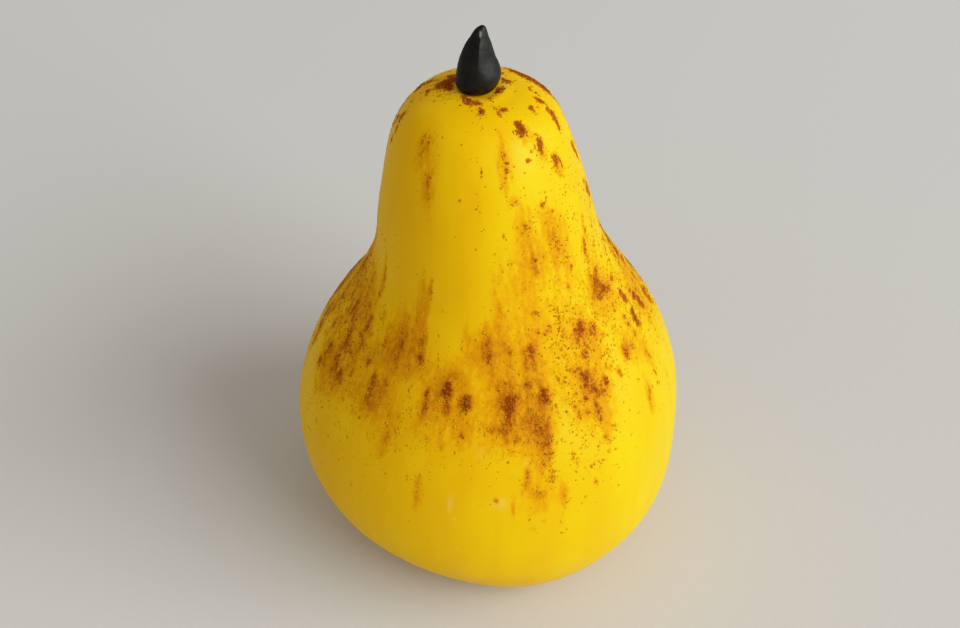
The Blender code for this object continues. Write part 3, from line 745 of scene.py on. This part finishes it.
def yellowCoat():
    v = coatLook
    material, tree, shader = startMaterial("yellowCoat")
    place = addNode(tree, "ShaderNodeTexCoord").outputs["Object"]
    dust, veil, crisp, smearAndSheen = (addField(tree, label) for label in ("dust", "veil", "crisp", "smearAndSheen"))
    streaks = addStretch(tree, place, 0.4)
    rugged = addNoise(tree, place, v["ruggedScale"], 2, 0.6)
    brushed = addNoise(tree, streaks, v["brushedScale"], 3, 0.6)
    # a soft dab is its strength broken by noise; a clear one is its strength plus noise, cut off sharply
    broken = addMath(tree, "MULTIPLY", addRange(tree, rugged, 0.34, 0.66, 0.5, 1.45),
                     addRange(tree, brushed, 0.34, 0.66, 0.35, 1.6))
    soft = addMath(tree, "MULTIPLY", dust, broken)
    cut = addStep(tree, addMath(tree, "MULTIPLY_ADD", rugged, 0.9, dust), 0.62, 0.86)
    blots = addMath(tree, "MULTIPLY", addRange(tree, dust, 0, 0.95, 0.40, 1.08),
                    addRange(tree, addNoise(tree, place, v["blotScale"], 2), 0.38, 0.62, 0.68, 1.1))
    clear = addMath(tree, "MULTIPLY", addMath(tree, "MULTIPLY", cut, addStep(tree, dust, 0.02, 0.14)), blots)
    clearness = addMath(tree, "MULTIPLY", crisp, v["clearShare"])
    dab = addNode(tree, "ShaderNodeMix", {0: clearness, 2: soft, 3: clear}).outputs[0]
    # crumbs of powder in the veils and round the dabs
    reach = addMath(tree, "MINIMUM", addMath(tree, "MULTIPLY_ADD", dust, 0.7, veil), 0.5)
    grain = addStep(tree, addNoise(tree, place, v["crumbScale"], 3, 0.6), 0.53, 0.66)
    crumbs = addMath(tree, "MULTIPLY", grain, reach)
    hairs = addRange(tree, addNoise(tree, streaks, v["hairScale"], 2), 0.35, 0.65, 0.6, 1.25)
    thin = addMath(tree, "MULTIPLY", veil, hairs)
    amount = addMath(tree, "ADD", addMath(tree, "ADD", dab, thin), addMath(tree, "MULTIPLY", crumbs, v["crumbShare"]))
    # the coat ran down in faint upright bands
    bands = addNoise(tree, addStretch(tree, place, 0.16), v["bandScale"], 2)
    clouds = addMath(tree, "MULTIPLY", addNoise(tree, place, v["mottleScale"], 3), 0.4)
    yellow = addRamp(tree, addMath(tree, "MULTIPLY_ADD", bands, 0.6, clouds), v["coat"])
    # painted highlight streaks on the lower front, in a pale colour
    yellow = addMix(tree, addMath(tree, "MULTIPLY", smearAndSheen, 1.1), yellow, v["smearAndSheen"])
    cover = addStep(tree, amount, 0.0, 0.14)
    colour = addMix(tree, cover, yellow, addRamp(tree, amount, v["powder"]))
    # painted highlights: pale patches on the lip of coat round the stalk, by the distance from the stalk's foot
    moved = addNode(tree, "ShaderNodeVectorMath", {0: place, 1: v["stalkFoot"]}, operation="ADD").outputs[0]
    fromStalk = addLength(tree, moved)
    inner, full, fade, outer = v["lipHighlightRing"]
    ring = addMath(tree, "MULTIPLY", addStep(tree, fromStalk, inner, full), addStep(tree, fromStalk, outer, fade))
    lipHighlights = addMath(tree, "MULTIPLY", ring, addStep(tree, addNoise(tree, place, v["lipHighlightScale"], 3), 0.54, 0.62))
    colour = addMix(tree, addMath(tree, "MULTIPLY", lipHighlights, 0.55), colour, v["lipHighlight"])
    tree.links.new(colour, shader.inputs["Base Color"])
    rough = addRange(tree, addNoise(tree, place, v["glossScale"], 3), 0.3, 0.7, *v["roughness"])
    dusty = addNode(tree, "ShaderNodeMix", {0: cover, 2: rough, 3: v["dustyRoughness"]}).outputs[0]
    tree.links.new(dusty, shader.inputs["Roughness"])
    shader.inputs["Specular IOR Level"].default_value = v["specular"]
    shader.inputs["Subsurface Weight"].default_value = v["glow"]
    shader.inputs["Subsurface Radius"].default_value = v["glowReach"]
    shader.inputs["Subsurface Scale"].default_value = 0.004
    pits = addBump(tree, addNoise(tree, place, v["pitScale"], 3), 0.10, 0.0002)
    tree.links.new(addBump(tree, amount, 0.5, 0.0001, pits), shader.inputs["Normal"])
    return material


powderLook = {
    "brown": [  # from the darkest grains to the palest
        (0.0, (0.29, 0.090, 0.005)), (0.4, (0.43, 0.170, 0.008)), (0.7, (0.56, 0.285, 0.009)),
        (1.0, (0.68, 0.40, 0.008))],
    "speckleScale": 5200,
    "roughness": 0.85,
    "specular": 0.2,
}


def brownPowder():
    v = powderLook
    material, tree, shader = startMaterial("brownPowder")
    place = addNode(tree, "ShaderNodeTexCoord").outputs["Object"]
    speckle = addNoise(tree, place, v["speckleScale"], 2)
    tone = addMath(tree, "SUBTRACT", addField(tree, "tone"), 0.15)
    colour = addRamp(tree, addMath(tree, "MULTIPLY_ADD", speckle, 0.3, tone), v["brown"])
    tree.links.new(colour, shader.inputs["Base Color"])
    shader.inputs["Roughness"].default_value = v["roughness"]
    shader.inputs["Specular IOR Level"].default_value = v["specular"]
    return material


dropLook = {
    "black": [(0.45, (0.008, 0.008, 0.0075)), (0.75, (0.020, 0.020, 0.019))],
    "roughness": (0.40, 0.56),
    "specular": 0.42,
    "smearScale": 420, "roughScale": 1500,
    "brown": (0.045, 0.018, 0.006),  # powder caught at its foot
    "brownHeights": (0.0961, 0.0969),
    # painted glint: the pale grey of a highlight near the stalk's tip
    "paintedGlint": (0.26, 0.26, 0.25),
    "glintPlace": (0.0024, 0.00125, -0.1062),  # moves the place to the middle of the painted glint
    "glintRadii": (0.0001, 0.00028),
}


def blackDrop():
    v = dropLook
    material, tree, shader = startMaterial("blackDrop")
    place = addNode(tree, "ShaderNodeTexCoord").outputs["Object"]
    smearAndSheen = addNoise(tree, addStretch(tree, place, 0.6), v["smearScale"], 4, 0.6)
    height = addNode(tree, "ShaderNodeSeparateXYZ", {"Vector": place}).outputs["Z"]
    low, high = v["brownHeights"]
    brown = addMath(tree, "MULTIPLY", addStep(tree, height, high, low), 0.75)
    colour = addMix(tree, brown, addRamp(tree, smearAndSheen, v["black"]), v["brown"])
    # painted glint: a short pale mark on the ridge below the tip, put in as a highlight
    mark = addNode(tree, "ShaderNodeMapping", {"Vector": place, "Location": v["glintPlace"]}).outputs["Vector"]
    away = addNode(tree, "ShaderNodeVectorMath", {0: mark, 1: (1, 0.35, 0.4)}, operation="MULTIPLY").outputs[0]
    inner, outer = v["glintRadii"]
    paintedGlint = addStep(tree, addLength(tree, away), outer, inner)
    colour = addMix(tree, addMath(tree, "MULTIPLY", paintedGlint, 0.8), colour, v["paintedGlint"])
    tree.links.new(colour, shader.inputs["Base Color"])
    tree.links.new(addRange(tree, smearAndSheen, 0.3, 0.75, *v["roughness"]), shader.inputs["Roughness"])
    shader.inputs["Specular IOR Level"].default_value = v["specular"]
    bump = addBump(tree, addNoise(tree, place, v["roughScale"], 4, 0.6), 0.22, 0.0002)
    tree.links.new(bump, shader.inputs["Normal"])
    return material


skin.data.materials.append(yellowCoat())
grains.data.materials.append(brownPowder())
stalk.data.materials.append(blackDrop())
print("materials made")

for piece, node, slot in ((skin, "pear_body", "yellow_coat"), (stalk, "stalk", "black_stalk")):
    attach(piece, "root")
    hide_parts(node)
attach(grains, "root")


# Floor, light and camera

studio = {
    "floorColour": (0.66, 0.66, 0.66),
    "floorRadii": (200.0, 900.0, 6000.0),
    "floorColumns": 96,
    "world": (0.45, 0.425, 0.39),
    "lights": [  # name, place, aim height, width, height, watts, colour
        ("window", (2.46, -1.24, 1.47), 0.05, 3.0, 2.4, 106.0, (0.98, 1.0, 0.97)),
        ("room", (-2.0, -2.4, 1.75), 0.05, 3.2, 2.4, 4.0, (1.0, 0.95, 0.93))],
    "lens": 48.75,
    "cameraPlace": (-0.0017, -0.1760, 0.2065),
    "pitch": 42.0,
    "roll": 1.0,
}


def makeFloor():
    # a flat disc of rings of points round the origin, 6 m in radius
    radii, columns = np.array(studio["floorRadii"]), studio["floorColumns"]
    turn = 2 * np.pi * np.arange(columns) / columns
    count = len(radii) * columns
    points = np.stack([
        np.outer(radii, np.sin(turn)).ravel(), -np.outer(radii, np.cos(turn)).ravel(), np.zeros(count)], -1)
    floor = putMesh(
        "floor", np.vstack([points, [[0, 0, 0]]]), gridFaces(len(radii), columns),
        capFaces(np.arange(columns), count, False), {})
    material, tree, shader = startMaterial("paleFloor")
    place = addNode(tree, "ShaderNodeTexCoord").outputs["Object"]
    darker = tuple(c * 0.98 for c in studio["floorColour"])
    tint = addRamp(tree, addNoise(tree, place, 5, 2), [(0.3, darker), (0.7, studio["floorColour"])])
    tree.links.new(tint, shader.inputs["Base Color"])
    shader.inputs["Roughness"].default_value = 0.9
    shader.inputs["Specular IOR Level"].default_value = 0.1
    tree.links.new(addBump(tree, addNoise(tree, place, 700, 3), 0.12, 0.0003), shader.inputs["Normal"])
    floor.data.materials.append(material)


def makeLights():
    world = bpy.data.worlds.new("softRoom")
    world.use_nodes = True
    world.node_tree.nodes["Background"].inputs["Color"].default_value = (*studio["world"], 1)
    scene.world = world
    for name, place, aim, width, height, watts, colour in studio["lights"]:
        light = bpy.data.lights.new(name, "AREA")
        light.shape = "RECTANGLE"
        light.size, light.size_y, light.energy, light.color = width, height, watts, colour
        lamp = bpy.data.objects.new(name, light)
        lamp.location = place
        lamp.rotation_euler = (Vector((0, 0, aim)) - Vector(place)).to_track_quat("-Z", "Y").to_euler()
        scene.collection.objects.link(lamp)


def makeCamera():
    # looks along +Y, turned down by the pitch and rolled a little about its own view
    camera = bpy.data.cameras.new("photoCamera")
    camera.lens, camera.sensor_width, camera.clip_start = studio["lens"], 36.0, 0.01
    view = bpy.data.objects.new("photoCamera", camera)
    tipped = Matrix.Rotation(math.radians(90 - studio["pitch"]), 4, "X")
    rolled = Matrix.Rotation(math.radians(studio["roll"]), 4, "Z")
    view.matrix_world = Matrix.Translation(studio["cameraPlace"]) @ tipped @ rolled
    scene.collection.objects.link(view)
    scene.camera = view


makeFloor()
makeLights()
makeCamera()
print("floor, lights and camera made")
